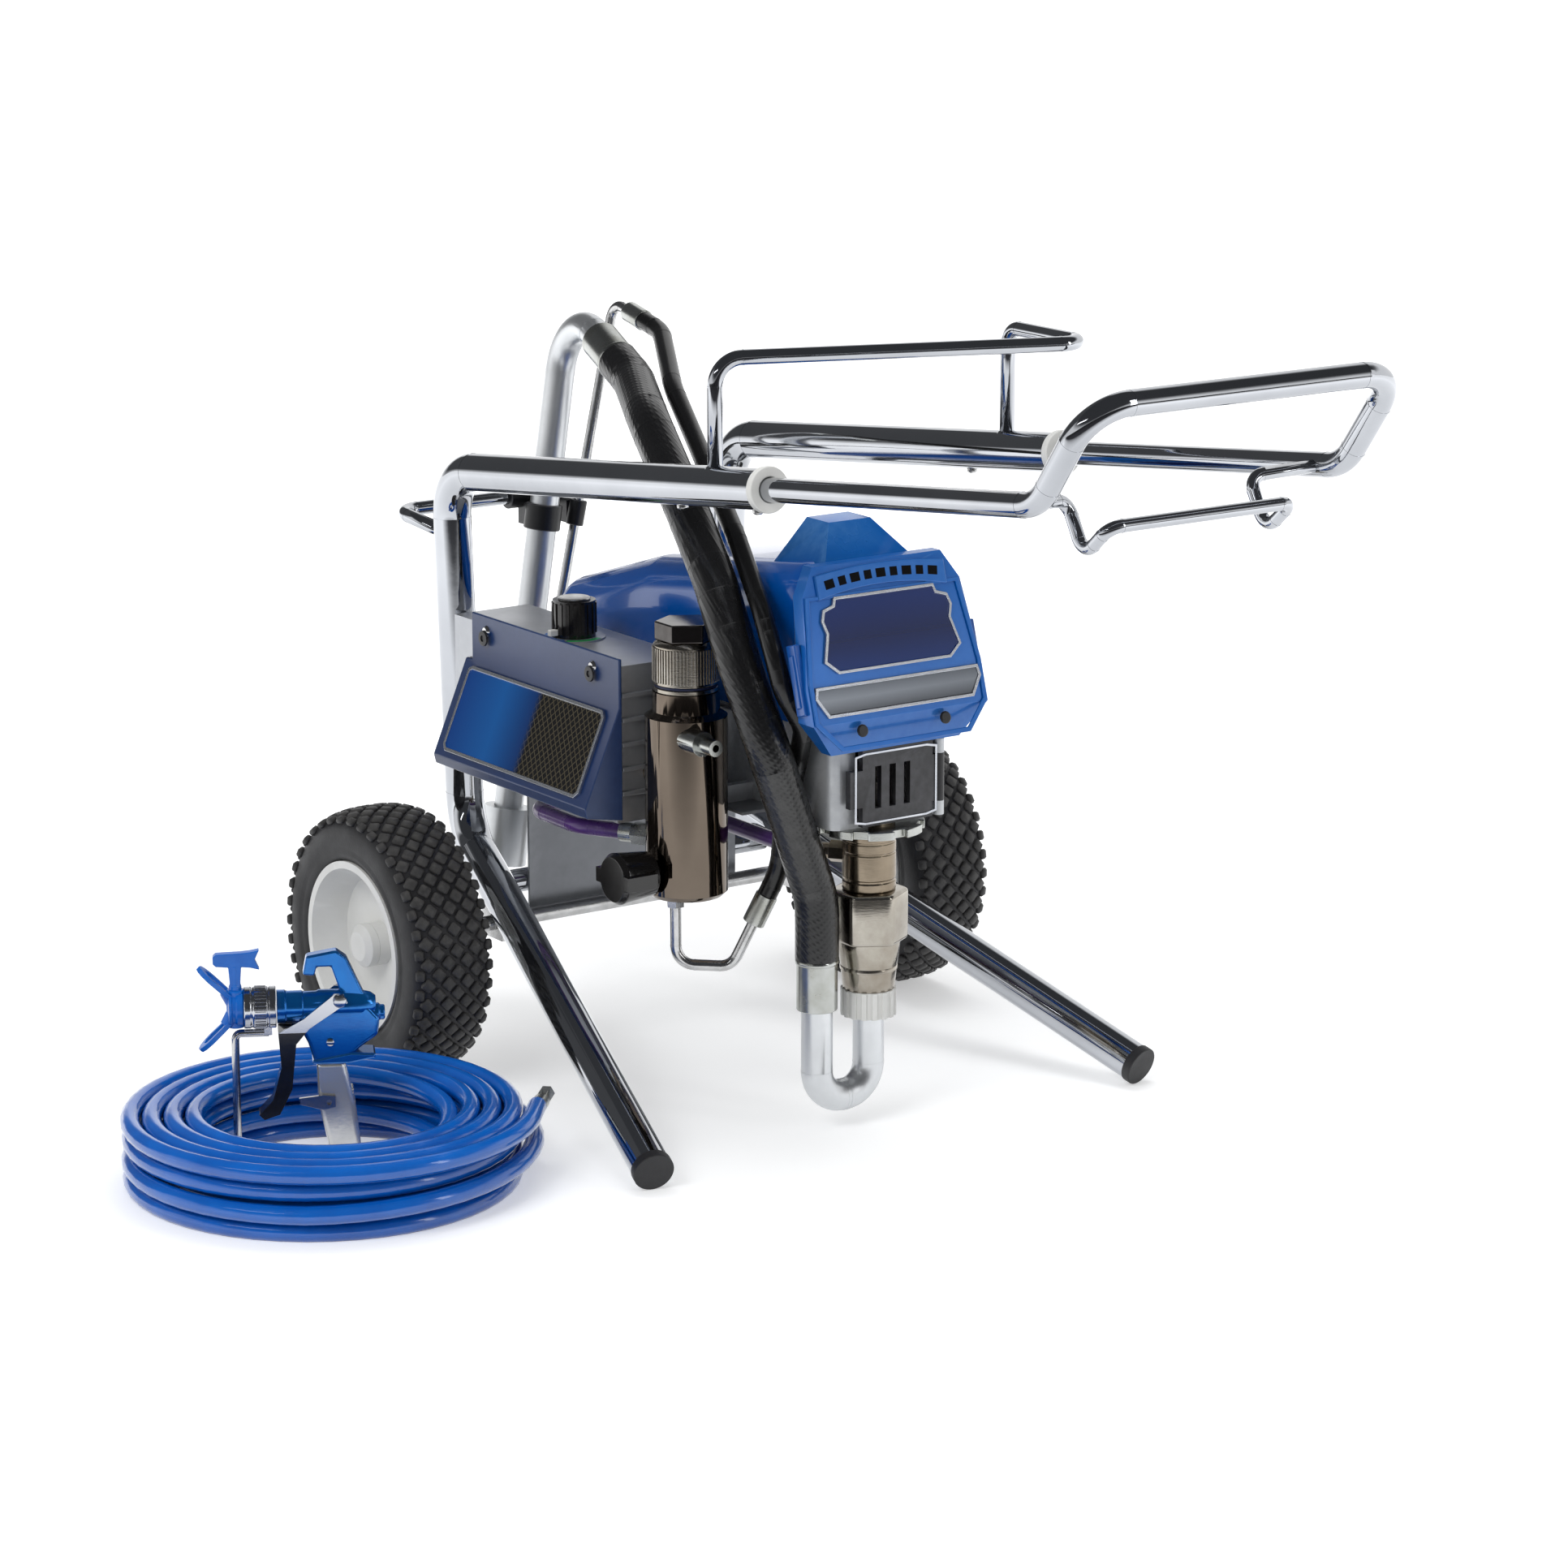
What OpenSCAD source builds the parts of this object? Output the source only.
// Airless paint sprayer on a low two-wheeled cart, with its spray gun and a coiled hose.
// Millimetres, +Z up. The pump and the handle face -Y. The cart's middle plane is x = 0,
// and the frame's upright posts stand at y = 0 before the whole is moved to its origin.

/* [Frame] */
// Outer diameter of the big frame tubes
tube_d = 31.8; // [28:0.2:36]
// Wall of the big frame tubes
tube_wall = 1.6; // [1.2:0.2:2.4]
// Half the spacing of the upper arms
arm_half = 140; // [135:1:150]
// Half the spacing of the lower bends
post_half = 130; // [126:1:136]
// Height of the lower bends
post_low_z = 175; // [168:1:182]
// Height of the upper bends
post_top_z = 485; // [478:1:500]
// How far forward the big arms reach
arm_reach = 461; // [450:1:480]
// Rise of the arms for each millimetre forward
arm_rise = 0.117; // [0.1:0.005:0.13]
// Half the spacing of the feet
foot_half = 240; // [232:1:250]
// How far forward the feet reach
foot_reach = 455; // [440:1:470]
// Radius of the frame's bends
frame_bend_r = 48; // [42:1:56]
// Length of a foot cap outside its tube
cap_len = 8; // [5:1:14]
// Diameter of the cross tubes
cross_d = 20; // [18:1:24]
// Thickness of the mounting plate's sheet
plate_t = 3; // [2:0.5:4]
// Half width of the mounting plate's front panel
plate_half = 105; // [95:1:112]
// Length of the motor shelf
shelf_len = 342; // [335:1:348]

/* [Handle] */
// Diameter of the sliding handle tube
handle_d = 19; // [17:0.5:21]
// Where the handle's lower bend sits, measured forward
handle_reach = 797; // [780:1:815]
// Where the hand grip sits, measured forward
grip_reach = 853; // [840:1:870]
// Height of the hand grip
grip_z = 655; // [645:1:670]
// Length of handle tube held inside each arm
handle_insert = 150; // [130:1:160]
// Radial clearance of the handle in its collars
slide_gap = 0.08; // [0.03:0.01:0.1]
// Length of a collar outside its arm
collar_len = 7; // [4:0.5:10]

/* [Racks] */
// Diameter of the hose rack rods
rack_d = 12; // [10:0.5:13]
// How far forward the upper rack's posts stand
rack_reach = 394; // [380:1:405]
// Height of the upper rack
rack_z = 630; // [615:1:640]
// How far the rear rack stands out behind the posts
rear_rack_y = 91; // [88:1:100]
// Diameter of the hook rod on the handle
hook_d = 10; // [8:0.5:11]

/* [Wheels] */
// Diameter of the wheels
wheel_d = 228; // [222:1:234]
// Width of the tyres
tyre_w = 74; // [66:1:78]
// Half the track of the wheels
track_half = 251; // [248:1:262]
// How far in front of the posts the axle lies
axle_reach = 74; // [70:1:80]
// Diameter of the axle
axle_d = 12.7; // [10:0.1:14]
// Radial clearance of a wheel on the axle
wheel_gap = 0.08; // [0.03:0.01:0.1]
// Radius of the rims
rim_r = 72; // [66:1:78]
// Radius of the wheel hubs
hub_r = 18; // [15:0.5:24]

/* [Pump and drive] */
// How far forward the pump's centre line lies
pump_reach = 403; // [401:1:405]
// Radius of the pump cylinder
pump_r = 21.5; // [20:0.5:22.5]
// Stroke of the piston
stroke = 24; // [16:1:26]
// Diameter of the piston rod
rod_d = 22; // [18:1:24]
// Outer radius of the jam nut
jam_r = 44; // [40:1:46]
// Width across the corners of the intake's hexagon
hex_w = 66; // [60:1:68]
// Radius of the drive gear
gear_r = 32; // [28:0.5:32.5]
// Radius of the motor's pinion
pinion_r = 8; // [6.5:0.5:9]
// Radius of the motor
motor_r = 44; // [38:0.5:45]
// Length of the motor
motor_len = 250; // [220:1:255]
// Half width of the drive housing
housing_half = 48; // [46:0.5:49]
// Wall of the blue covers
cover_wall = 3; // [2:0.5:4]
// Half width of the front cover at its widest
shield_half = 84; // [80:1:88]
// Thickness of the pump guard
guard_t = 6; // [4:0.5:7]

/* [Suction and drain] */
// Diameter of the aluminium suction tubes
suction_tube_d = 25.4; // [22:0.2:26]
// Diameter of the suction hose
suction_hose_d = 35; // [30:0.5:35]
// Wall of the suction hose
suction_wall = 4.5; // [3:0.5:5]
// Length of a suction ferrule
ferrule_len = 42; // [36:1:44]
// Diameter of the drain hose
drain_hose_d = 16; // [13:0.5:16]
// Diameter of the steel drain tubes
drain_tube_d = 9; // [7:0.5:10]
// Diameter of the pressure hose from the pump to the filter
link_hose_d = 13; // [10:0.5:14]

/* [Filter] */
// Radius of the filter manifold
manifold_r = 33; // [30:0.5:34]
// Radius of the knurled filter cap
filter_cap_r = 26; // [22:0.5:27]
// Radius of the filter element
filter_r = 15; // [12:0.5:18]
// Radius of the prime knob
prime_r = 21; // [17:0.5:23]
// Thread radius of the bare hose outlet
outlet_r = 6.5; // [5:0.1:8]

/* [Controls] */
// Width of the control box, away from the motor
box_w = 72; // [70:1:76]
// Height of the control box
box_h = 128; // [118:1:132]
// Length of the control box
box_len = 248; // [236:1:250]
// How far the sloping panel stands out at its foot
panel_out = 33; // [26:1:38]
// Radius of the pressure knob
knob_r = 18.5; // [14:0.5:22]
// Height of the pressure knob
knob_h = 30; // [22:1:36]

/* [Gun] */
// Thickness of the gun's body
gun_w = 22; // [18:0.5:24]
// Radius of the nut that holds the tip guard
nut_r = 15.5; // [13:0.5:17]
// Radial clearance of the trigger on its pin
pin_gap = 0.06; // [0.02:0.01:0.1]

/* [Hose coil] */
// Diameter of the coiled paint hose
hose_d = 15; // [12:0.5:15]
// Radius of the outer loops' centre line
coil_r = 160; // [150:1:160]
// Radial step from one loop to the next
loop_step = 16.5; // [16:0.5:18]
// Height from one layer of loops to the next
layer_step = 15.8; // [15.6:0.2:17]

/* [Hidden] */
$fn = 48;
weld = 0.4;                       // sliver that two blended shapes of one piece share
seam = 0.3;                       // play between a bend and its straights, inside a bead
face_gap = 0.3;                   // gap left between pieces that move past each other
fit_gap = 0.05;                   // radial clearance of the small running fits

// Frame
tube_r = tube_d / 2;
foot_cap_r = tube_r + 0.6;
function arm_z(y) = post_top_z + arm_rise * y;
foot_run = norm([foot_half - post_half, foot_reach]);
function foot_level(z) = foot_cap_r * foot_run / norm([foot_run, post_low_z - z]);
foot_z = foot_level(foot_level(foot_level(16)));
function leg_at(y) = let (t = y / foot_reach)
    [post_half + (foot_half - post_half) * t, -y, post_low_z + (foot_z - post_low_z) * t];
function post_x(z) = post_half
    + (arm_half - post_half) * (z - post_low_z) / (post_top_z - post_low_z);
foot_dir = unit([foot_half - post_half, -foot_reach, foot_z - post_low_z]);
foot_end = [foot_half, -foot_reach, foot_z] - foot_dir * cap_len;
arm_dir = unit([0, -1, arm_rise]);
arm_up = unit([0, arm_rise, 1]);
arm_end = [arm_half, -arm_reach, arm_z(arm_reach)];
frame_route = [foot_end, [post_half, 0, post_low_z], [arm_half, 0, post_top_z], arm_end];
frame_bends = [frame_bend_r, frame_bend_r - 4];

// Cross tubes, axle and mounting plate
panel_front = 60;                 // front face of the plate's upright panel, forward of the posts
low_cross = [0, -(panel_front - plate_t - cross_d / 2), 138];
top_cross = [0, 0, 238];
shelf_z = top_cross.z + cross_d / 2;
shelf_top = shelf_z + plate_t;
shelf_back = 12;
shelf_half = 72;
plate_low = 104;
plate_corner = 15;
wheel_r = wheel_d / 2;
axle_at = [0, -axle_reach, wheel_r];
hub_in = tyre_w / 2 - 3;
hub_out = 18;
axle_end = track_half + hub_out + 4;
bracket_t = 6;
collar_t = 4;

// Handle
handle_r = handle_d / 2;
collar_r = tube_r + 2.1;
handle_back = arm_reach - handle_insert;
handle_route = [
    [-arm_half, -handle_back, arm_z(handle_back)],
    [-arm_half, -handle_reach, arm_z(handle_reach)],
    [-arm_half, -grip_reach, grip_z],
    [arm_half, -grip_reach, grip_z],
    [arm_half, -handle_reach, arm_z(handle_reach)],
    [arm_half, -handle_back, arm_z(handle_back)]
];
handle_bends = [40, 34, 34, 40];
hook_half = 84;
hook_route = [
    [-arm_half, -handle_reach + 22, arm_z(handle_reach - 22)],
    [-hook_half, -handle_reach + 40, arm_z(handle_reach) - 8],
    [-hook_half, -handle_reach + 19, arm_z(handle_reach) - 45],
    [-hook_half, -handle_reach - 9, arm_z(handle_reach) - 20],
    [hook_half, -handle_reach - 9, arm_z(handle_reach) - 20],
    [hook_half, -handle_reach + 19, arm_z(handle_reach) - 45],
    [hook_half, -handle_reach + 40, arm_z(handle_reach) - 8],
    [arm_half, -handle_reach + 22, arm_z(handle_reach - 22)]
];
hook_bends = [11, 11, 11, 11, 11, 11];
upper_rack_route = [
    [-arm_half, -rack_reach, arm_z(rack_reach)],
    [-arm_half, -rack_reach, rack_z],
    [arm_half - 7, -rack_reach - 112, rack_z + 2],
    [arm_half, -rack_reach, rack_z],
    [arm_half, -rack_reach, arm_z(rack_reach)]
];
upper_rack_bends = [22, 16, 16];
rear_rack_z = 430;
rear_rack_route = [
    [-post_x(rear_rack_z), 0, rear_rack_z],
    [-post_x(rear_rack_z), rear_rack_y, rear_rack_z + 7],
    [post_x(rear_rack_z), rear_rack_y, rear_rack_z + 7],
    [post_x(rear_rack_z), 0, rear_rack_z]
];
rear_rack_bends = [18, 18];
clip_lip = 3;

// Drive and pump: the gear, the rod and the pump share one upright plane
pump = [0, -pump_reach, 0];
gear_z = 300;
motor_z = gear_z + gear_r + pinion_r + face_gap;
throw = stroke / 2;
crank_pin_r = 5;
housing_back = pump_reach - 73;
housing_front = pump_reach + 17;
housing_low = 250;
housing_top = motor_z + pinion_r + 8;
gear_front = pump_reach - 31;
gear_t = 14;
gear_back = gear_front - gear_t;
shaft_r = 6;
gear_shaft_r = 8;
window_half = 26;
jam_t = 7;
cylinder_low = 194;
intake_low = 112;
nut_low = 90;
motor_back = housing_back - motor_len;
motor_wall = 3;
fan_t = 12;

// Covers
cover_low = 330;
cover_low_half = 53;
cover_back = 26;
cover_front = pump_reach + 17;
cover_lean = 9;
cover_round = 30;
shield_tilt = atan(28 / 95);
shield_top_y = pump_reach + 15;
shield_top_z = 440;
shield_low_z = shield_top_z - 95;
guard_low = 253;
guard_high = 315;
hinge_r = 4.5;
hinge_pin_r = 2;
hinge_at = [housing_half + 1, -(housing_front + guard_t / 2 + 5.5), 0];

// Suction line: the free stretch between its two ferrules follows points chosen by hand
u_gap = 50.5;
u_low = 14 + suction_tube_d / 2;
u_bend = u_gap / 2 - 1.5;
low_ferrule_z = 102;
suction_start = [-u_gap, -pump_reach, low_ferrule_z + ferrule_len];
arch_corner = [17, 62, 606];
arch_end = [4, -8, 583];
arch_dir = unit(arch_end - arch_corner);
suction_finish = arch_end + arch_dir * ferrule_len;
suction_route = [
    suction_start,
    suction_start + [0, 0, 48],
    [-93, 8 - pump_reach, 322],
    [-104, 32 - pump_reach, 388],
    [-98, 73 - pump_reach, 443],
    [-84, -272, 486],
    [-50, -165, 540],
    suction_finish + arch_dir * 34,
    suction_finish
];
suction_bends = [80, 120, 120, 90, 120, 140, 60];
arch_low = [-50, 62, 170];
strainer_len = 48;
drain_arch = [[0, 62, 320], [63, 62, 602], [61, 34, 597]];
drain_dir = unit(drain_arch[2] - drain_arch[1]);
drain_ferrule_len = 26;
drain_start = drain_arch[2] + drain_dir * drain_ferrule_len;
manifold_at = [-110, -307, 0];
manifold_low = 185;
manifold_high = 332;
drain_low = [
    [manifold_at.x - 11, manifold_at.y, manifold_low],
    [manifold_at.x - 11, manifold_at.y, 128],
    [-84, -332, 126],
    [-70, -342, 162]
];
drain_low_dir = unit(drain_low[3] - drain_low[2]);
drain_finish = drain_low[3] + drain_low_dir * drain_ferrule_len;
drain_route = [
    drain_start,
    drain_start + drain_dir * 30,
    [6, -116, 556],
    [-31, -218, 512],
    [-64, -310, 471],
    [-88, 23 - pump_reach, 428],
    [-92, 1 - pump_reach, 398],
    [-86, -4 - pump_reach, 366],
    [-66, -4 - pump_reach, 334],
    [-57, 17 - pump_reach, 304],
    [-60, 33 - pump_reach, 250],
    drain_finish + drain_low_dir * 24,
    drain_finish
];
drain_bends = [60, 160, 160, 100, 60, 50, 40, 30, 30, 60, 60];

// Filter, link hose and controls
inlet_dir = unit([-0.5, 0.866, 0]);
inlet_z = 230;
inlet_start = [manifold_at.x, manifold_at.y, inlet_z] + inlet_dir * 58;
nipple_dir = unit([-0.6, 0.8, 0]);
nipple_z = 222;
nipple_end = [0, -pump_reach, nipple_z] + nipple_dir * 45;
link_route = [
    inlet_start,
    inlet_start + inlet_dir * 40,
    [-150, -130, 226],
    [-38, -130, nipple_z],
    nipple_end + nipple_dir * 18,
    nipple_end
];
link_bends = [36, 38, 38, 14];
outlet_z = 318;
outlet_x = manifold_at.x - 14;   // to the side, so that a straight coupling clears the suction hose
prime_z = 207;
box_in = -78;
box_out = box_in - box_w;
box_back = 20;
box_low = 240;
box_top = box_low + box_h;
box_wall = 4;
knob_at = [-117, -154];
panel_t = 3;
panel_back = 42;
panel_front_end = box_back + box_len + 8;
slope_high = box_top - 32;
slope_low = box_low + 18;
slope_len = norm([panel_out, slope_high - slope_low]);
slope_tilt = atan(panel_out / (slope_high - slope_low));

// Gun, drawn with its nose to +X and its grip's foot at the origin
gun_at = [-402, -262, 0];
gun_turn = 152;
gun_half = gun_w / 2;
nose_z = 131;
trigger_pivot = [2, 138];
trigger_pin_r = 3;
lock_at = [12, 56];
tip_x = 82;
wing_reach = 113;
wing_half = 10;

// Hose coil
coil_at = [-428, -282, 0];
coil_layers = 4;
coil_loops = 4;
coil_skip = 0.35;                 // part of the first loop that is left out
coil_end_angle = -35;
coil_rings = 24;
hose_sides = 6;
coupling_len = 34;
coupling_r = hose_d / 2 * cos(180 / hose_sides);

// The origin is the middle of the object's footprint, without the hose coil
gun_nose = gun_at.x + wing_reach * cos(gun_turn) - wing_half * sin(gun_turn);
footprint_x = [min(gun_nose, -track_half - tyre_w / 2), track_half + tyre_w / 2];
footprint_y = [-grip_reach - handle_r, rear_rack_y + rack_d / 2 + clip_lip];
origin = [(footprint_x[0] + footprint_x[1]) / 2, (footprint_y[0] + footprint_y[1]) / 2, 0];

// --- Vector helpers -----------------------------------------------------------------

function unit(v) = v / norm(v);
function side_of(w) = unit(cross(abs(w.z) < 0.9 ? [0, 0, 1] : [1, 0, 0], w));

// Turns +Z to a direction and moves the origin to a point
module aim(p, dir) {
    w = unit(dir);
    u = side_of(w);
    v = cross(w, u);
    multmatrix([
        [u.x, v.x, w.x, p.x],
        [u.y, v.y, w.y, p.y],
        [u.z, v.z, w.z, p.z],
        [0, 0, 0, 1]
    ]) children();
}

// Round bar from one point to another
module bar(p, q, d) {
    aim(p, q - p) cylinder(h = norm(q - p), d = d);
}

// Part of a ring that turns a bar from direction a to direction b at a corner. It stops a
// seam short at both ends, inside the beads that join it to the straights.
module elbow(corner, a, b, r, d) {
    turn = acos(a * b);
    skip = seam / r * 180 / PI;
    centre = corner + unit(b - a) * r / cos(turn / 2);
    start = corner - a * r * tan(turn / 2);
    x = unit(start - centre);
    z = cross(x, a);
    multmatrix([
        [x.x, a.x, z.x, centre.x],
        [x.y, a.y, z.y, centre.y],
        [x.z, a.z, z.z, centre.z],
        [0, 0, 0, 1]
    ]) rotate([0, 0, skip]) rotate_extrude(angle = turn - 2 * skip)
        translate([r, 0]) circle(d = d);
    bead(start, a, d);
    bead(corner + b * r * tan(turn / 2), b, d);
}

module bead(p, dir, d) {
    aim(p - dir * 2 * seam, dir) cylinder(h = 4 * seam, d = d + seam);
}

// Length that a bend takes from each straight beside its corner
function setback(a, b, r) = r * tan(acos(a * b) / 2);

// Round bar along a route of corners, each with its own bend radius. A longer end keeps
// a bore open through both faces.
module bent_bar(route, bends, d, longer = 0) {
    last = len(route) - 1;
    dirs = [for (i = [0 : last - 1]) unit(route[i + 1] - route[i])];
    cuts = [for (i = [0 : last])
        i == 0 || i == last ? -longer : setback(dirs[i - 1], dirs[i], bends[i - 1]) + seam];
    for (i = [0 : last - 1])
        bar(route[i] + dirs[i] * cuts[i], route[i + 1] - dirs[i] * cuts[i + 1], d);
    for (i = [1 : last - 1])
        elbow(route[i], dirs[i - 1], dirs[i], bends[i - 1], d);
}

module bent_tube(route, bends, d, wall) {
    difference() {
        bent_bar(route, bends, d);
        bent_bar(route, bends, d - 2 * wall, longer = 1);
    }
}

module ring(outer, inner, h) {
    difference() {
        cylinder(h = h, r = outer);
        translate([0, 0, -1]) cylinder(h = h + 2, r = inner);
    }
}

// Block between two corners
module block(low, high) {
    translate(low) cube(high - low);
}

// Upright block with round corners
module round_block(low, high, r) {
    for (x = [low.x + r, high.x - r], y = [low.y + r, high.y - r])
        translate([x, y, low.z]) cylinder(h = high.z - low.z, r = r);
    block([low.x + r, low.y, low.z], [high.x - r, high.y, high.z]);
    block([low.x, low.y + r, low.z], [high.x, high.y - r, high.z]);
}

// Cylinder along -Y that starts at a point
module forward(p, h, r) {
    translate(p) rotate([90, 0, 0]) cylinder(h = h, r = r);
}

// Flat outline in X and Z, given a thickness along Y about y = 0
module side_plate(points, t) {
    translate([0, t / 2, 0]) rotate([90, 0, 0]) linear_extrude(t) polygon(points);
}

module both_sides() {
    children();
    mirror([1, 0, 0]) children();
}

// --- Frame --------------------------------------------------------------------------

module side_solid() {
    bent_bar(frame_route, frame_bends, tube_d);
}

module right_side_tube() {
    color("gainsboro") bent_tube(frame_route, frame_bends, tube_d, tube_wall);
}

module left_side_tube() {
    mirror([1, 0, 0]) right_side_tube();
}

module foot_caps() {
    color("dimgray") both_sides() aim(foot_end, foot_dir) {
        cylinder(h = cap_len, r = foot_cap_r);
        translate([0, 0, -20]) cylinder(h = 20, r = tube_r - tube_wall);
    }
}

module handle_collars() {
    color("white") both_sides() aim(arm_end, arm_dir) difference() {
        union() {
            cylinder(h = collar_len, r = collar_r);
            translate([0, 0, -26]) cylinder(h = 26, r = tube_r - tube_wall);
        }
        translate([0, 0, -27]) cylinder(h = 40, r = handle_r + slide_gap);
    }
}

// Dome-headed screws under the arms, and two in the control panel's flange
module cap_screws() {
    color("silver") {
        difference() {
            both_sides() for (y = [arm_reach - 114, arm_reach - 11])
                aim([arm_half, -y, arm_z(y)] - arm_up * (tube_r - 3), -arm_up) {
                    cylinder(h = 5, r = 4.5);
                    translate([0, 0, 5]) cylinder(h = 1.5, r1 = 4.5, r2 = 2.5);
                }
            both_sides() side_solid();
        }
        for (y = [panel_back + 34, panel_front_end - 38])
            translate([box_out - panel_t, -y, box_top - 4]) rotate([0, -90, 0])
                cylinder(h = 2.5, r1 = 4.5, r2 = 3);
    }
}

module upper_hose_rack() {
    color("gainsboro") difference() {
        bent_bar(upper_rack_route, upper_rack_bends, rack_d);
        both_sides() side_solid();
    }
}

module rear_hose_rack() {
    color("gainsboro") difference() {
        bent_bar(rear_rack_route, rear_rack_bends, rack_d);
        both_sides() side_solid();
    }
}

module cross_tubes() {
    low_x = leg_at(-low_cross.y).x;
    top_x = post_x(top_cross.z);
    color("gainsboro") difference() {
        union() {
            bar(low_cross - [low_x, 0, 0], low_cross + [low_x, 0, 0], cross_d);
            bar(top_cross - [top_x, 0, 0], top_cross + [top_x, 0, 0], cross_d);
        }
        both_sides() side_solid();
    }
}

// Axle with its two welded hangers and the collars that keep the wheels out
module axle() {
    leg = leg_at(axle_reach);
    color("silver") difference() {
        union() {
            bar(axle_at - [axle_end, 0, 0], axle_at + [axle_end, 0, 0], axle_d);
            both_sides() {
                block([leg.x - bracket_t / 2, -axle_reach - 16, wheel_r - 13],
                      [leg.x + bracket_t / 2, -axle_reach + 16, leg.z]);
                translate(axle_at + [track_half - hub_in - face_gap - collar_t, 0, 0])
                    rotate([0, 90, 0]) cylinder(h = collar_t, r = axle_d / 2 + 5);
            }
        }
        both_sides() side_solid();
    }
}

// Bent sheet that carries the motor: an upright panel under a level shelf
module mounting_plate() {
    color("slategray") union() {
        translate([0, plate_t - panel_front, 0]) rotate([90, 0, 0])
            linear_extrude(plate_t) {
                translate([-plate_half, plate_low + plate_corner])
                    square([2 * plate_half, box_low - 2 - plate_low - plate_corner]);
                translate([-shelf_half, plate_low + plate_corner])
                    square([2 * shelf_half, shelf_z - plate_low - plate_corner]);
                translate([-plate_half + plate_corner, plate_low])
                    square([2 * (plate_half - plate_corner), plate_corner]);
                for (s = [-1, 1])
                    translate([s * (plate_half - plate_corner), plate_low + plate_corner])
                        circle(r = plate_corner);
            }
        block([-shelf_half, shelf_back - shelf_len, shelf_z],
              [shelf_half, shelf_back, shelf_top]);
        block([box_in, -box_back - box_len, shelf_z], [shelf_half, shelf_back, shelf_top]);
    }
}

// --- Wheels -------------------------------------------------------------------------

// A wheel's parts are drawn about +Z, with the outer face up, and laid on the axle
module on_axle(side) {
    translate([side * track_half, -axle_reach, wheel_r]) rotate([0, side * 90, 0]) children();
}

module tyre() {
    half = tyre_w / 2;
    difference() {
        union() {
            translate([0, 0, -half + 9]) cylinder(h = tyre_w - 18, r = wheel_r);
            for (m = [0, 1]) mirror([0, 0, m]) translate([0, 0, half - 9])
                cylinder(h = 9, r1 = wheel_r, r2 = wheel_r - 13);
        }
        translate([0, 0, -half - 1]) cylinder(h = tyre_w + 2, r = rim_r);
    }
}

module rim() {
    half = tyre_w / 2;
    difference() {
        union() {
            difference() {
                translate([0, 0, -half + 2]) cylinder(h = tyre_w - 4, r = rim_r);
                translate([0, 0, 7]) cylinder(h = half, r1 = rim_r - 16, r2 = rim_r - 3);
                translate([0, 0, -half]) cylinder(h = half, r1 = rim_r - 4, r2 = rim_r - 10);
            }
            translate([0, 0, -hub_in]) cylinder(h = hub_in + hub_out, r = hub_r);
            for (a = [0 : 60 : 300]) rotate([0, 0, a])
                block([hub_r - 2, -2, -hub_in + 6], [rim_r - 5, 2, 2]);
        }
        translate([0, 0, -half - 1])
            cylinder(h = tyre_w + 2, r = axle_d / 2 + wheel_gap);
    }
}

module hub_cap() {
    translate([0, 0, hub_out]) difference() {
        union() {
            cylinder(h = 7, r = hub_r);
            translate([0, 0, 7]) cylinder(h = 4, r1 = hub_r, r2 = hub_r - 6);
        }
        translate([0, 0, -1]) cylinder(h = 7, r = axle_d / 2 + 3);
    }
}

module left_tyre() { color([0.1, 0.1, 0.1]) on_axle(-1) tyre(); }
module left_rim() { color("white") on_axle(-1) rim(); }
module left_hub_cap() { color("lightsteelblue") on_axle(-1) hub_cap(); }
module right_tyre() { color([0.1, 0.1, 0.1]) on_axle(1) tyre(); }
module right_rim() { color("white") on_axle(1) rim(); }
module right_hub_cap() { color("lightsteelblue") on_axle(1) hub_cap(); }

// --- Handle -------------------------------------------------------------------------

module handle_solid() {
    bent_bar(handle_route, handle_bends, handle_d);
}

module handle() {
    color("gainsboro") handle_solid();
}

module handle_hook() {
    color("gainsboro") difference() {
        bent_bar(hook_route, hook_bends, hook_d);
        handle_solid();
    }
}

// --- Drive --------------------------------------------------------------------------

module drive_housing() {
    bed_half = motor_r - 4;
    color("silver") difference() {
        union() {
            round_block([-housing_half, -housing_front, housing_low],
                        [housing_half, -housing_back, housing_top], 10);
            block([-bed_half, -housing_back - weld, shelf_top],
                  [bed_half, -motor_back - 30, motor_z - motor_r + 22]);
            for (y = [-housing_back + 40, -motor_back - 34])
                block([-shelf_half, y - 8, shelf_top], [shelf_half, y, shelf_top + 14]);
            for (z = [guard_low, guard_high - 11.5])
                hinge_ear(z);
            translate([hinge_at.x, hinge_at.y, guard_low])
                cylinder(h = guard_high - guard_low, r = hinge_pin_r);
        }
        forward([0, -housing_back + 1, motor_z], -motor_back + housing_back + 1, 0.01);
        motor_bore();
        block([-window_half, -housing_front - 1, housing_low + 6],
              [window_half, -gear_front - 2, gear_z + gear_r + 4]);
        forward([0, -gear_back + 6, gear_z], gear_t + 12, gear_r + 1.5);
        forward([0, -gear_back + 6, motor_z], gear_t + 12, pinion_r + 1.5);
        forward([0, -housing_back + 1, motor_z], 30, shaft_r + fit_gap);
        forward([0, -housing_back - 6, gear_z], 20, gear_shaft_r + fit_gap);
        translate(pump + [0, 0, housing_low - 1]) cylinder(h = 20, r = pump_r);
    }
}

module motor_bore() {
    forward([0, -motor_back + 1, motor_z], housing_back - motor_back + 1, motor_r);
}

module hinge_ear(z) {
    translate([hinge_at.x, hinge_at.y, z]) cylinder(h = 11.5, r = hinge_r);
    block([hinge_at.x - hinge_r, hinge_at.y, z],
          [hinge_at.x - 1, -housing_front + 12, z + 11.5]);
}

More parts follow.
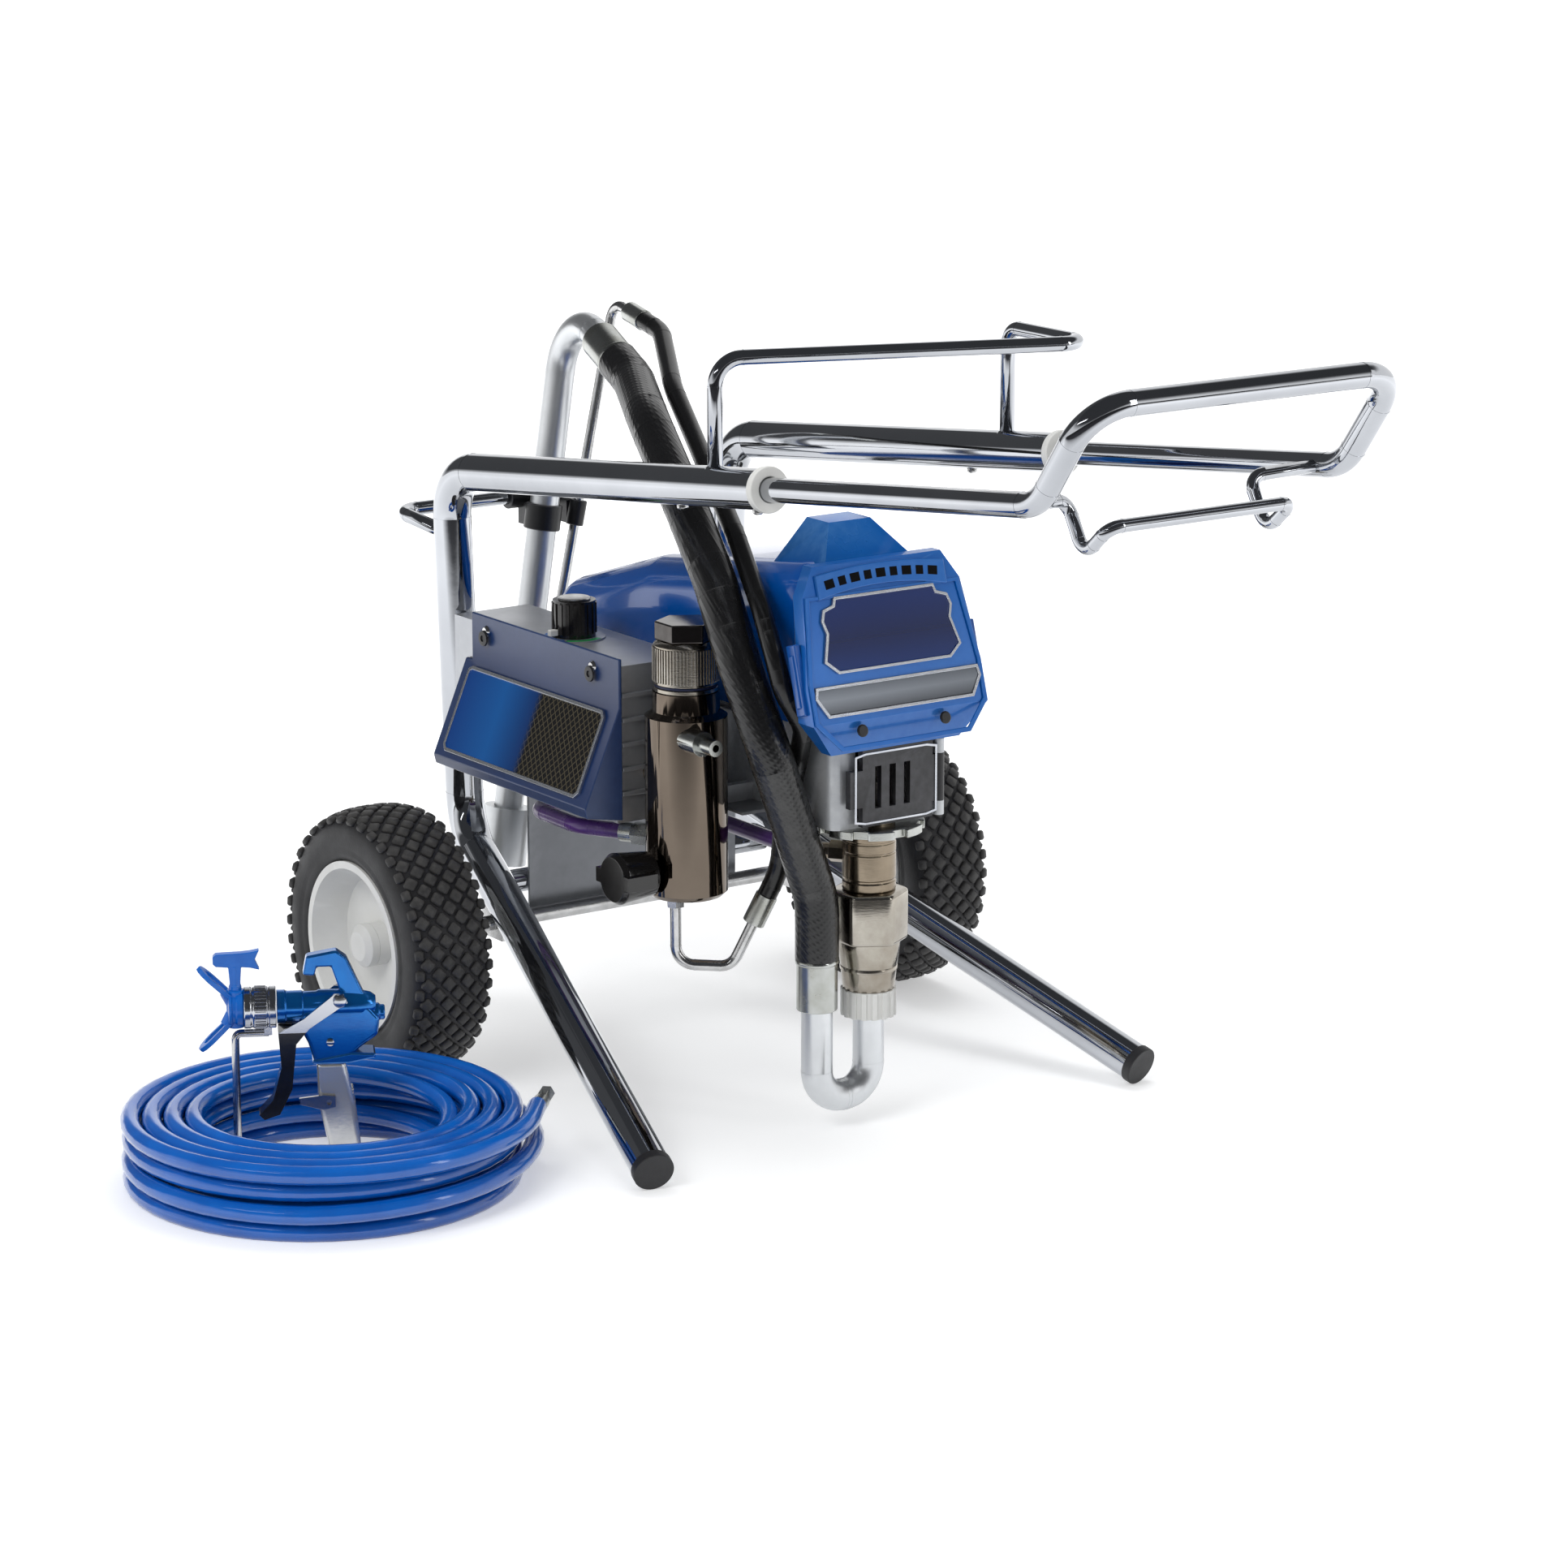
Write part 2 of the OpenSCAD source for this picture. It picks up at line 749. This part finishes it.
// Smooth blended body of the cover, grown or shrunk by a wall
module cover_body(inset) {
    r = cover_round - inset;
    hull() {
        for (s = [-1, 1]) {
            translate([s * 34, -cover_back - cover_round, 364]) sphere(r = r, $fn = 28);
            translate([s * 36, -180, 402]) sphere(r = r, $fn = 28);
            translate([s * 38, -cover_front + cover_lean + cover_round, 430])
                sphere(r = r, $fn = 28);
        }
        block([-cover_low_half + inset, -cover_front + inset, cover_low - 6 + inset],
              [cover_low_half - inset, -cover_back - 20 - inset, cover_low]);
    }
}

module motor_cover() {
    color([0.06, 0.2, 0.62]) difference() {
        cover_body(0);
        cover_body(cover_wall);
        block([-90, -cover_front - 5, cover_low - 40], [90, 0, cover_low]);
        block([-cover_low_half + 6, -cover_front - 5, cover_low - 1],
              [cover_low_half - 6, -cover_front + 20, 420]);
    }
}

// Body of the front cover: level slices joined into one leaning shield
module shield_body(inset) {
    slices = [
        [62, 462, pump_reach - 3, pump_reach + 8],
        [76, shield_top_z, pump_reach + 3, shield_top_y],
        [shield_half, 372, pump_reach + 22, shield_top_y + 20],
        [shield_half, shield_low_z, pump_reach + 22, shield_top_y + 28],
        [62, 318, pump_reach + 22, shield_top_y + 20]
    ];
    hull() for (s = slices)
        block([-s[0] + inset, -s[3] + inset, s[1] - 1],
              [s[0] - inset, -s[2] - inset, s[1]]);
}

module top_fin() {
    hull() {
        block([-47, -pump_reach - 4, 446], [47, -pump_reach + 66, 452]);
        block([-20, -pump_reach + 28, 484], [20, -pump_reach + 58, 487]);
    }
}

module front_cover() {
    color([0.05, 0.3, 0.75]) difference() {
        union() {
            shield_body(0);
            top_fin();
        }
        cover_body(0);
        block([-housing_half - face_gap, -housing_front - face_gap, 300],
              [housing_half + face_gap, -pump_reach, housing_top + face_gap]);
        intersection() {
            shield_body(cover_wall);
            block([-100, -500, 322], [100, -cover_front + cover_wall, 458]);
        }
        for (i = [-4 : 4])
            block([i * 12 - 4, -pump_reach - 30, 449], [i * 12 + 4, -pump_reach + 4, 455]);
    }
}

// Bare plates on the leaning face of the front cover
module badge_plates() {
    color("lightgray") translate([0, -shield_top_y, shield_top_z]) rotate([-shield_tilt, 0, 0])
        rotate([90, 0, 0]) linear_extrude(2.5) {
            polygon([[-52, -2], [52, -2], [60, -10], [66, -52], [52, -62],
                     [-52, -62], [-66, -52], [-60, -10]]);
            polygon([[-80, -70], [80, -70], [80, -82], [70, -97], [-70, -97], [-80, -82]]);
        }
}

module motor_shell() {
    color("dimgray") difference() {
        forward([0, -motor_back, motor_z], housing_back - motor_back, motor_r);
        forward([0, -motor_back - 5, motor_z], housing_back - motor_back - 10,
                motor_r - motor_wall);
        forward([0, -motor_back + 1, motor_z], housing_back - motor_back + 2,
                shaft_r + fit_gap);
    }
}

// Armature, its shaft, the pinion in front and the cooling fan behind
module motor_rotor() {
    color("peru") {
        forward([0, -motor_back - 24, motor_z], housing_back - motor_back - 60,
                motor_r - motor_wall - 8);
        forward([0, -motor_back + fan_t + 6, motor_z], gear_front - motor_back + fan_t + 3,
                shaft_r);
        forward([0, -gear_back - 1, motor_z], gear_t - 2, pinion_r);
        forward([0, -motor_back + fan_t + 4, motor_z], fan_t, motor_r - 12);
    }
}

// The gear's pitch cylinder, with the round pocket that the crank pin moves in
module drive_gear() {
    color("goldenrod") difference() {
        union() {
            forward([0, -gear_back, gear_z], gear_t, gear_r);
            forward([0, -housing_back - 7, gear_z], gear_back + 2 - housing_back - 7,
                    gear_shaft_r);
        }
        forward([0, -gear_front + 8, gear_z], 10, throw + crank_pin_r + 2);
    }
}

module connecting_rod() {
    pin_z = gear_z - throw;
    color("slategray") difference() {
        union() {
            forward([0, -pump_reach + 9, pin_z], 18, 14);
            forward([0, -gear_front + 5, pin_z], pump_reach - gear_front, crank_pin_r);
            translate(pump + [0, 0, pin_z - 24]) cylinder(h = 20, r = 15);
        }
        translate(pump + [0, 0, pin_z - 30]) cylinder(h = 16, r = rod_d / 2);
    }
}

module piston_rod() {
    top = gear_z - throw - 14;
    color("gainsboro") translate(pump + [0, 0, cylinder_low + 18])
        cylinder(h = top - cylinder_low - 18, r = rod_d / 2);
}

module pump_cylinder() {
    color("rosybrown") difference() {
        union() {
            translate(pump + [0, 0, cylinder_low])
                cylinder(h = housing_low + 12 - cylinder_low, r = pump_r);
            aim([0, -pump_reach, nipple_z], nipple_dir) {
                cylinder(h = 32, r = 9, $fn = 6);
                cylinder(h = 45, r = link_hose_d / 2);
            }
        }
        translate(pump + [0, 0, cylinder_low - 1])
            cylinder(h = 100, r = rod_d / 2 + fit_gap);
        translate(pump + [0, 0, cylinder_low - 1]) cylinder(h = 40, r = rod_d / 2 + 3);
    }
}

module intake_valve() {
    color("gray") translate(pump) difference() {
        union() {
            translate([0, 0, cylinder_low - 42]) cylinder(h = 42, d = hex_w, $fn = 6);
            translate([0, 0, intake_low])
                cylinder(h = cylinder_low - 41 - intake_low, r1 = 21, r2 = 26);
        }
        translate([0, 0, intake_low - 1]) cylinder(h = 90, r = 11);
        translate([0, 0, intake_low + 30]) cylinder(h = 24, r = 16);
    }
}

module jam_nut() {
    color("gainsboro") translate(pump + [0, 0, housing_low - jam_t]) difference() {
        cylinder(h = jam_t, r = jam_r);
        translate([0, 0, -1]) cylinder(h = jam_t + 2, r = pump_r);
        for (a = [0 : 45 : 359]) rotate([0, 0, a])
            block([jam_r - 5, -6, -1], [jam_r + 5, 6, jam_t + 1]);
    }
}

// Hinged guard with plain slots
module pump_guard() {
    left = hinge_at.x - 88;
    front = hinge_at.y - guard_t / 2;
    color([0.12, 0.12, 0.13]) difference() {
        union() {
            block([left + 12, front, guard_low], [hinge_at.x - 8, front + guard_t, guard_high]);
            block([left, front, guard_low + 16],
                  [left + 13, front + guard_t, guard_high - 16]);
            block([hinge_at.x - 9, front, guard_low + 12],
                  [hinge_at.x, front + guard_t, guard_high - 12]);
            translate([hinge_at.x, hinge_at.y, guard_low + 11.5 + face_gap])
                cylinder(h = guard_high - guard_low - 23 - 2 * face_gap, r = hinge_r);
        }
        translate([hinge_at.x, hinge_at.y, 0])
            cylinder(h = 400, r = hinge_pin_r + fit_gap);
        for (x = [left + 24 : 14 : hinge_at.x - 24])
            block([x, front - 1, guard_low + 14], [x + 6, front + guard_t + 1, guard_high - 14]);
    }
}

// --- Suction and drain --------------------------------------------------------------

module suction_nut() {
    color([0.9, 0.9, 0.93]) translate(pump + [0, 0, nut_low]) difference() {
        union() {
            cylinder(h = intake_low - nut_low, r = pump_r - 0.5);
            for (a = [0 : 22.5 : 359]) rotate([0, 0, a])
                block([15, -2, 0], [pump_r + 1, 2, intake_low - nut_low]);
        }
        translate([0, 0, -1]) cylinder(h = 40, d = suction_tube_d);
    }
}

module suction_arch() {
    bent_bar([arch_low, arch_corner, arch_end], [42], suction_tube_d);
}

module suction_tubes() {
    color("silver") {
        bent_bar([pump + [0, 0, intake_low], pump + [0, 0, u_low],
                  pump + [-u_gap, 0, u_low], pump + [-u_gap, 0, low_ferrule_z]],
                 [u_bend, u_bend], suction_tube_d);
        suction_arch();
        arch_axis = unit(arch_corner - arch_low);
        aim(arch_low - arch_axis * strainer_len, arch_axis)
            cylinder(h = strainer_len + 2, r = suction_tube_d / 2 + 8);
    }
}

module suction_hose() {
    color([0.1, 0.1, 0.1])
        bent_tube(suction_route, suction_bends, suction_hose_d, suction_wall);
}

module hose_ferrules() {
    color("gainsboro") {
        aim(suction_start, [0, 0, -1]) cylinder(h = ferrule_len, d = suction_hose_d - 2);
        aim(arch_end, arch_dir) cylinder(h = ferrule_len, d = suction_hose_d - 2);
        aim(drain_arch[2], drain_dir) cylinder(h = drain_ferrule_len, d = drain_hose_d + 2);
        aim(drain_low[3], drain_low_dir)
            cylinder(h = drain_ferrule_len, d = drain_hose_d + 2);
    }
}

module drain_hose() {
    color([0.1, 0.1, 0.1]) bent_bar(drain_route, drain_bends, drain_hose_d);
}

module drain_tubes() {
    color("gainsboro") {
        bent_bar(drain_arch, [12], drain_tube_d);
        bent_bar(drain_low, [16, 14], drain_tube_d);
        translate(drain_low[0] - [0, 0, 9]) cylinder(h = 9, r = 7.5, $fn = 6);
    }
}

// Double clip that hangs on the rear rack and grips both upright tubes
module hose_clips() {
    color([0.1, 0.1, 0.1]) difference() {
        union() {
            block([-36, 46, 396], [10, 78, 424]);
            block([10 - weld, 50, 402], [38, 76, 430]);
            block([-30, 70, 410], [34, rear_rack_y + rack_d / 2 + clip_lip, 446]);
        }
        suction_arch();
        bent_bar(drain_arch, [12], drain_tube_d);
        bent_bar(rear_rack_route, rear_rack_bends, rack_d);
    }
}

// --- Filter -------------------------------------------------------------------------

module filter_manifold() {
    color([0.32, 0.28, 0.26]) difference() {
        union() {
            translate(manifold_at + [0, 0, manifold_low + 4])
                cylinder(h = manifold_high - manifold_low - 4, r = manifold_r);
            translate(manifold_at + [0, 0, manifold_low])
                cylinder(h = 4, r1 = manifold_r - 4, r2 = manifold_r);
            translate(manifold_at + [0, 0, manifold_high])
                cylinder(h = 4, r1 = manifold_r, r2 = manifold_r - 6);
            translate(manifold_at + [0, 0, manifold_high])
                cylinder(h = 20, r = manifold_r - 6);
            forward([manifold_at.x, -box_back - box_len, 280],
                    -manifold_at.y - box_back - box_len, 16);
        }
        translate(manifold_at + [0, 0, manifold_low + 12])
            cylinder(h = 200, r = filter_r + 4);
        translate([manifold_at.x - manifold_r + 8, manifold_at.y, prime_z])
            rotate([0, -90, 0]) cylinder(h = 40, r = 7 + fit_gap);
    }
}

module filter_cap() {
    base = manifold_high + 20;
    color([0.4, 0.37, 0.35]) translate([manifold_at.x, manifold_at.y, base]) {
        cylinder(h = 41, r = filter_cap_r);
        for (a = [0 : 15 : 359]) rotate([0, 0, a])
            block([filter_cap_r - 2, -1.5, 6], [filter_cap_r + 1, 1.5, 38]);
        translate([0, 0, 41]) cylinder(h = 16, r = filter_cap_r - 1, $fn = 6);
        translate([0, 0, -10]) cylinder(h = 10, r = filter_r + 4);
    }
}

module filter_element() {
    color("gainsboro") translate(manifold_at + [0, 0, manifold_low + 12])
        cylinder(h = manifold_high + 10 - manifold_low - 12, r = filter_r);
}

// Bare threaded outlet to the front and the link hose's inlet behind
module manifold_fittings() {
    color("gainsboro") difference() {
        union() {
            forward([outlet_x, manifold_at.y, outlet_z], manifold_r + 12, 10);
            forward([outlet_x, manifold_at.y, outlet_z], manifold_r + 30, outlet_r);
            aim([manifold_at.x, manifold_at.y, inlet_z], inlet_dir) {
                cylinder(h = manifold_r + 14, r = 9.5, $fn = 6);
                cylinder(h = 58, r = 8);
            }
        }
        translate(manifold_at) cylinder(h = manifold_high + 10, r = manifold_r);
        forward([outlet_x, manifold_at.y - manifold_r - 2, outlet_z], 40, 3);
        forward([manifold_at.x, -box_back - box_len, 280],
                -manifold_at.y - box_back - box_len, 16);
    }
}

module prime_knob() {
    start = manifold_at.x - manifold_r;
    color([0.08, 0.08, 0.08]) {
        translate([start - 4, manifold_at.y, prime_z]) rotate([0, -90, 0]) {
            cylinder(h = 30, r1 = prime_r - 3, r2 = prime_r);
            translate([0, 0, 30]) cylinder(h = 4, r1 = prime_r, r2 = prime_r - 3);
        }
        translate([start - 5, manifold_at.y, prime_z]) rotate([0, 90, 0])
            cylinder(h = 12, r = 7);
        block([start - 38, manifold_at.y - prime_r - 3, prime_z - 6],
              [start - 10, manifold_at.y + prime_r + 3, prime_z + 6]);
    }
}

module link_hose() {
    color([0.15, 0.12, 0.5]) bent_bar(link_route, link_bends, link_hose_d);
}

// --- Controls -----------------------------------------------------------------------

module control_box() {
    color("darkgray") difference() {
        union() {
            block([box_out, -box_back - box_len, box_low], [box_in, -box_back, box_top]);
            translate([knob_at.x, knob_at.y, box_top]) cylinder(h = 1.5, r = knob_r + 7);
        }
        block([box_out + box_wall, -box_back - box_len + box_wall, box_low + box_wall],
              [box_in - box_wall, -box_back - box_wall, box_top - box_wall]);
        translate([knob_at.x, knob_at.y, box_top - 20]) cylinder(h = 30, r = 3 + fit_gap);
    }
}

// Steel cover with an upright flange over a sloping face and a closed end on each side
module control_panel() {
    color([0.08, 0.16, 0.38]) {
        block([box_out - panel_t, -panel_front_end, slope_high - 1],
              [box_out, -panel_back - 10, box_top + 8]);
        difference() {
            translate([0, -panel_back, 0]) rotate([90, 0, 0])
                linear_extrude(panel_front_end - panel_back)
                    polygon([[box_out, slope_high], [box_out - panel_t, slope_high],
                             [box_out - panel_t - panel_out, slope_low],
                             [box_out - panel_t - panel_out + 2, slope_low - 8],
                             [box_out, box_low + 4]]);
            translate([0, -panel_back - panel_t, 0]) rotate([90, 0, 0])
                linear_extrude(panel_front_end - panel_back - 2 * panel_t)
                    polygon([[box_out - 1, slope_high - 10],
                             [box_out - panel_out, slope_low],
                             [box_out - panel_out + 2, slope_low - 4],
                             [box_out - 1, box_low + 9]]);
        }
    }
}

// Bare label plate on the sloping face
module panel_label() {
    color("silver")
        translate([box_out - panel_t, -panel_back, slope_high]) rotate([0, slope_tilt, 0])
            translate([-2.5, 0, 0]) mirror([0, 1, 0])
                block([0, 10, -slope_len + 4], [2.5, panel_front_end - panel_back - 12, -6]);
}

module pressure_knob() {
    color([0.08, 0.08, 0.08]) translate([knob_at.x, knob_at.y, box_top + 1.5 + face_gap]) {
        cylinder(h = knob_h, r = knob_r - 1);
        for (a = [0 : 20 : 359]) rotate([0, 0, a])
            block([knob_r - 3, -1.4, 3], [knob_r, 1.4, knob_h - 2]);
        translate([0, 0, -16]) cylinder(h = 18, r = 3);
        block([-knob_r - 5, -2, 0], [-knob_r + 3, 2, 6]);
    }
}

module circuit_board() {
    x = box_in - box_wall - 12;
    color("darkgreen") {
        block([x, -box_back - box_len + box_wall + 14, box_low + box_wall],
              [x + 2, -box_back - box_wall - 14, box_top - 26]);
        for (y = [70, 120, 190])
            block([x - 12, -y - 18, box_low + 30], [x, -y, box_low + 52]);
    }
}

// --- Gun ----------------------------------------------------------------------------

module at_gun() {
    translate(gun_at) rotate([0, 0, gun_turn]) children();
}

module along_nose(x, h, r) {
    translate([x, 0, nose_z]) rotate([0, 90, 0]) cylinder(h = h, r = r);
}

module gun_body() {
    color([0.05, 0.35, 0.75]) at_gun() {
        difference() {
            union() {
                side_plate([[50, 142], [20, 145], [-4, 141], [-22, 133], [-29, 122],
                            [-27, 108], [-12, 98], [-24, 94], [-24, 90], [0, 86],
                            [21, 86], [26, 100], [34, 116], [50, 120]], gun_w);
                side_plate([[30, 156], [27, 172], [4, 176], [-3, 170], [-18, 137],
                            [-19, 125], [-4, 132], [8, 165], [19, 164], [21, 156]], 12);
                along_nose(30, 20, gun_half + 0.5);
            }
            translate([trigger_pivot.x, 20, trigger_pivot.y]) rotate([90, 0, 0])
                cylinder(h = 40, r = trigger_pin_r);
        }
        translate([trigger_pivot.x, gun_half + 4, trigger_pivot.y]) rotate([90, 0, 0])
            cylinder(h = gun_w + 8, r = trigger_pin_r);
        along_nose(50 - weld, 26 + weld, nut_r);
    }
}

module gun_handle() {
    color("gainsboro") at_gun() {
        side_plate([[20, 86], [0, 86], [-8, 50], [-14, 5], [-12, 0], [10, 0],
                    [13, 24], [18, 52], [16, 66]], gun_w - 2);
        translate([lock_at.x, gun_half + 4, lock_at.y]) rotate([90, 0, 0])
            cylinder(h = 6, r = 2);
    }
}

// Flat steel strap from under the nut to the grip's foot
module trigger_guard() {
    color("silver") at_gun() {
        block([83, -6, 14], [85.5, 6, 109]);
        block([54, -6, 109], [85.5, 6, 111.5]);
        block([54, -6, 109], [58, 6, nose_z - nut_r]);
        block([11, -6, 0], [72, 6, 2.5]);
        translate([72, 6, 14]) rotate([90, 90, 0]) rotate_extrude(angle = 90)
            translate([11, 0]) square([2.5, 12]);
    }
}

module trigger() {
    color([0.15, 0.15, 0.16]) at_gun() {
        difference() {
            for (s = [-1, 1]) translate([0, s * (gun_half + face_gap + 1.25), 0])
                side_plate([[-4, 136], [-1, 143], [6, 143], [30, 124], [50, 113],
                            [48, 104], [36, 104], [26, 116], [2, 132]], 2.5);
            translate([trigger_pivot.x, 20, trigger_pivot.y]) rotate([90, 0, 0])
                cylinder(h = 40, r = trigger_pin_r + pin_gap);
        }
        side_plate([[50, 113], [48, 84], [55, 58], [66, 46], [62, 42], [50, 46],
                    [40, 66], [36, 104], [38, 112]], 18);
        side_plate([[50, 113], [48, 104], [38, 104], [40, 112]],
                   gun_w + 2 * face_gap + 5);
    }
}

module trigger_lock() {
    color("silver") at_gun() difference() {
        translate([0, gun_half + 1.5, 0])
            side_plate([[lock_at.x - 5, lock_at.y - 4], [lock_at.x + 4, lock_at.y - 6],
                        [34, lock_at.y - 1], [35, lock_at.y + 4],
                        [lock_at.x + 4, lock_at.y + 6], [lock_at.x - 5, lock_at.y + 5]], 3);
        translate([lock_at.x, 30, lock_at.y]) rotate([90, 0, 0])
            cylinder(h = 40, r = 2 + pin_gap);
    }
}

// Plastic guard with its two flared wings
module tip_guard() {
    color([0.15, 0.5, 0.85]) at_gun() difference() {
        union() {
            along_nose(76, 12, nut_r - 1.5);
            side_plate([[80, 142], [92, 146], [111, 168], [wing_reach, 163], [97, 138],
                        [88, 136]], 2 * wing_half);
            side_plate([[80, 120], [92, 116], [111, 94], [wing_reach, 99], [97, 124],
                        [88, 126]], 2 * wing_half);
        }
        along_nose(84, 40, 5);
        translate([tip_x, 0, nose_z - 20]) cylinder(h = 80, r = 5 + fit_gap);
    }
}

module spray_tip() {
    color([0.1, 0.45, 0.85]) at_gun() {
        translate([tip_x, 0, nose_z - 12]) cylinder(h = 46, r = 5);
        block([tip_x - 19, -4, nose_z + 33], [tip_x + 17, 4, nose_z + 45]);
    }
}

// --- Hose coil ----------------------------------------------------------------------

coil_turns = coil_layers * coil_loops;

// Position along the coil, counted in turns: the spiral runs in and out by turns, and it
// climbs one layer in the half turn where it reverses
function layer_of(t) = min(floor(t / coil_loops), coil_layers - 1);
function coil_radius(t) = let (k = layer_of(t), u = t - k * coil_loops)
    coil_r - loop_step * (k % 2 == 0 ? u : coil_loops - u);
function climb(t) = let (near = round(t / coil_loops), from = t - near * coil_loops)
    near < 1 || near >= coil_layers ? layer_of(t)
        : near - 0.5 + max(-0.5, min(0.5, 2 * from));
function coil_point(t) = let (a = coil_end_angle - 360 * (coil_turns - t))
    coil_at + [coil_radius(t) * cos(a), coil_radius(t) * sin(a),
               hose_d / 2 * cos(180 / hose_sides) + layer_step * climb(t)];

coil_steps = round((coil_turns - coil_skip) * coil_rings);
coil_loop_points = [for (i = [0 : coil_steps])
    coil_point(coil_skip + (coil_turns - coil_skip) * i / coil_steps)];
coil_first = unit(coil_loop_points[0] - coil_loop_points[1]);
coil_last = unit(coil_loop_points[coil_steps] - coil_loop_points[coil_steps - 1]);
function level(v) = unit([v.x, v.y, 0]);
coil_points = concat(
    [coil_loop_points[0] + level(coil_first) * hose_d],
    coil_loop_points,
    [coil_loop_points[coil_steps] + level(coil_last) * hose_d]
);

// Unbroken tube along points that stay nearly level
module level_tube(points, d, sides) {
    n = len(points);
    function heading(i) = unit(points[min(i + 1, n - 1)] - points[max(i - 1, 0)]);
    rings = [for (i = [0 : n - 1]) let (w = heading(i), u = unit(cross([0, 0, 1], w)),
                                        v = cross(w, u))
        for (s = [0 : sides - 1])
            points[i] + (u * cos(360 * s / sides) + v * sin(360 * s / sides)) * d / 2];
    walls = [for (i = [0 : n - 2], s = [0 : sides - 1], half = [0, 1])
        let (a = i * sides + s, b = i * sides + (s + 1) % sides)
        half == 0 ? [a, b, b + sides] : [a, b + sides, a + sides]];
    start_face = [for (s = [1 : sides - 2]) [0, s + 1, s]];
    base = (n - 1) * sides;
    end_face = [for (s = [1 : sides - 2]) [base, base + s, base + s + 1]];
    polyhedron(rings, concat(walls, start_face, end_face), convexity = 10);
}

// Least distance between the centre lines of stretches over half a turn apart
coil_clear = min([for (i = [0 : coil_steps])
    let (q = coil_loop_points[i])
    min([for (j = [i + coil_rings / 2 : min(coil_steps, i + 2.2 * coil_loops * coil_rings)])
        norm(coil_loop_points[j] - q), 1000])]);
echo(least_self_gap_of_coil = coil_clear - hose_d);

module hose_coil() {
    color([0.05, 0.25, 0.7]) level_tube(coil_points, hose_d, hose_sides);
}

// Swivel couplings on both ends of the hose
module hose_couplings() {
    ends = [
        [coil_points[0], level(coil_first)],
        [coil_points[len(coil_points) - 1], level(coil_last)]
    ];
    color("silver") for (e = ends) aim(e[0], e[1]) {
        cylinder(h = 12, r = coupling_r);
        translate([0, 0, 12 - weld]) cylinder(h = coupling_len - 12, r = coupling_r, $fn = 6);
    }
}

// --- Assembly -----------------------------------------------------------------------

module placed() {
    translate(-origin) children();
}

placed() left_side_tube();
placed() right_side_tube();
placed() foot_caps();
placed() handle_collars();
placed() cap_screws();
placed() upper_hose_rack();
placed() rear_hose_rack();
placed() cross_tubes();
placed() axle();
placed() mounting_plate();
placed() left_tyre();
placed() left_rim();
placed() left_hub_cap();
placed() right_tyre();
placed() right_rim();
placed() right_hub_cap();
placed() handle();
placed() handle_hook();
placed() drive_housing();
placed() motor_cover();
placed() front_cover();
placed() badge_plates();
placed() motor_shell();
placed() motor_rotor();
placed() drive_gear();
placed() connecting_rod();
placed() piston_rod();
placed() pump_cylinder();
placed() intake_valve();
placed() jam_nut();
placed() pump_guard();
placed() suction_nut();
placed() suction_tubes();
placed() suction_hose();
placed() hose_ferrules();
placed() drain_hose();
placed() drain_tubes();
placed() hose_clips();
placed() filter_manifold();
placed() filter_cap();
placed() filter_element();
placed() manifold_fittings();
placed() prime_knob();
placed() link_hose();
placed() control_box();
placed() control_panel();
placed() panel_label();
placed() pressure_knob();
placed() circuit_board();
placed() gun_body();
placed() gun_handle();
placed() trigger_guard();
placed() trigger();
placed() trigger_lock();
placed() tip_guard();
placed() spray_tip();
placed() hose_coil();
placed() hose_couplings();
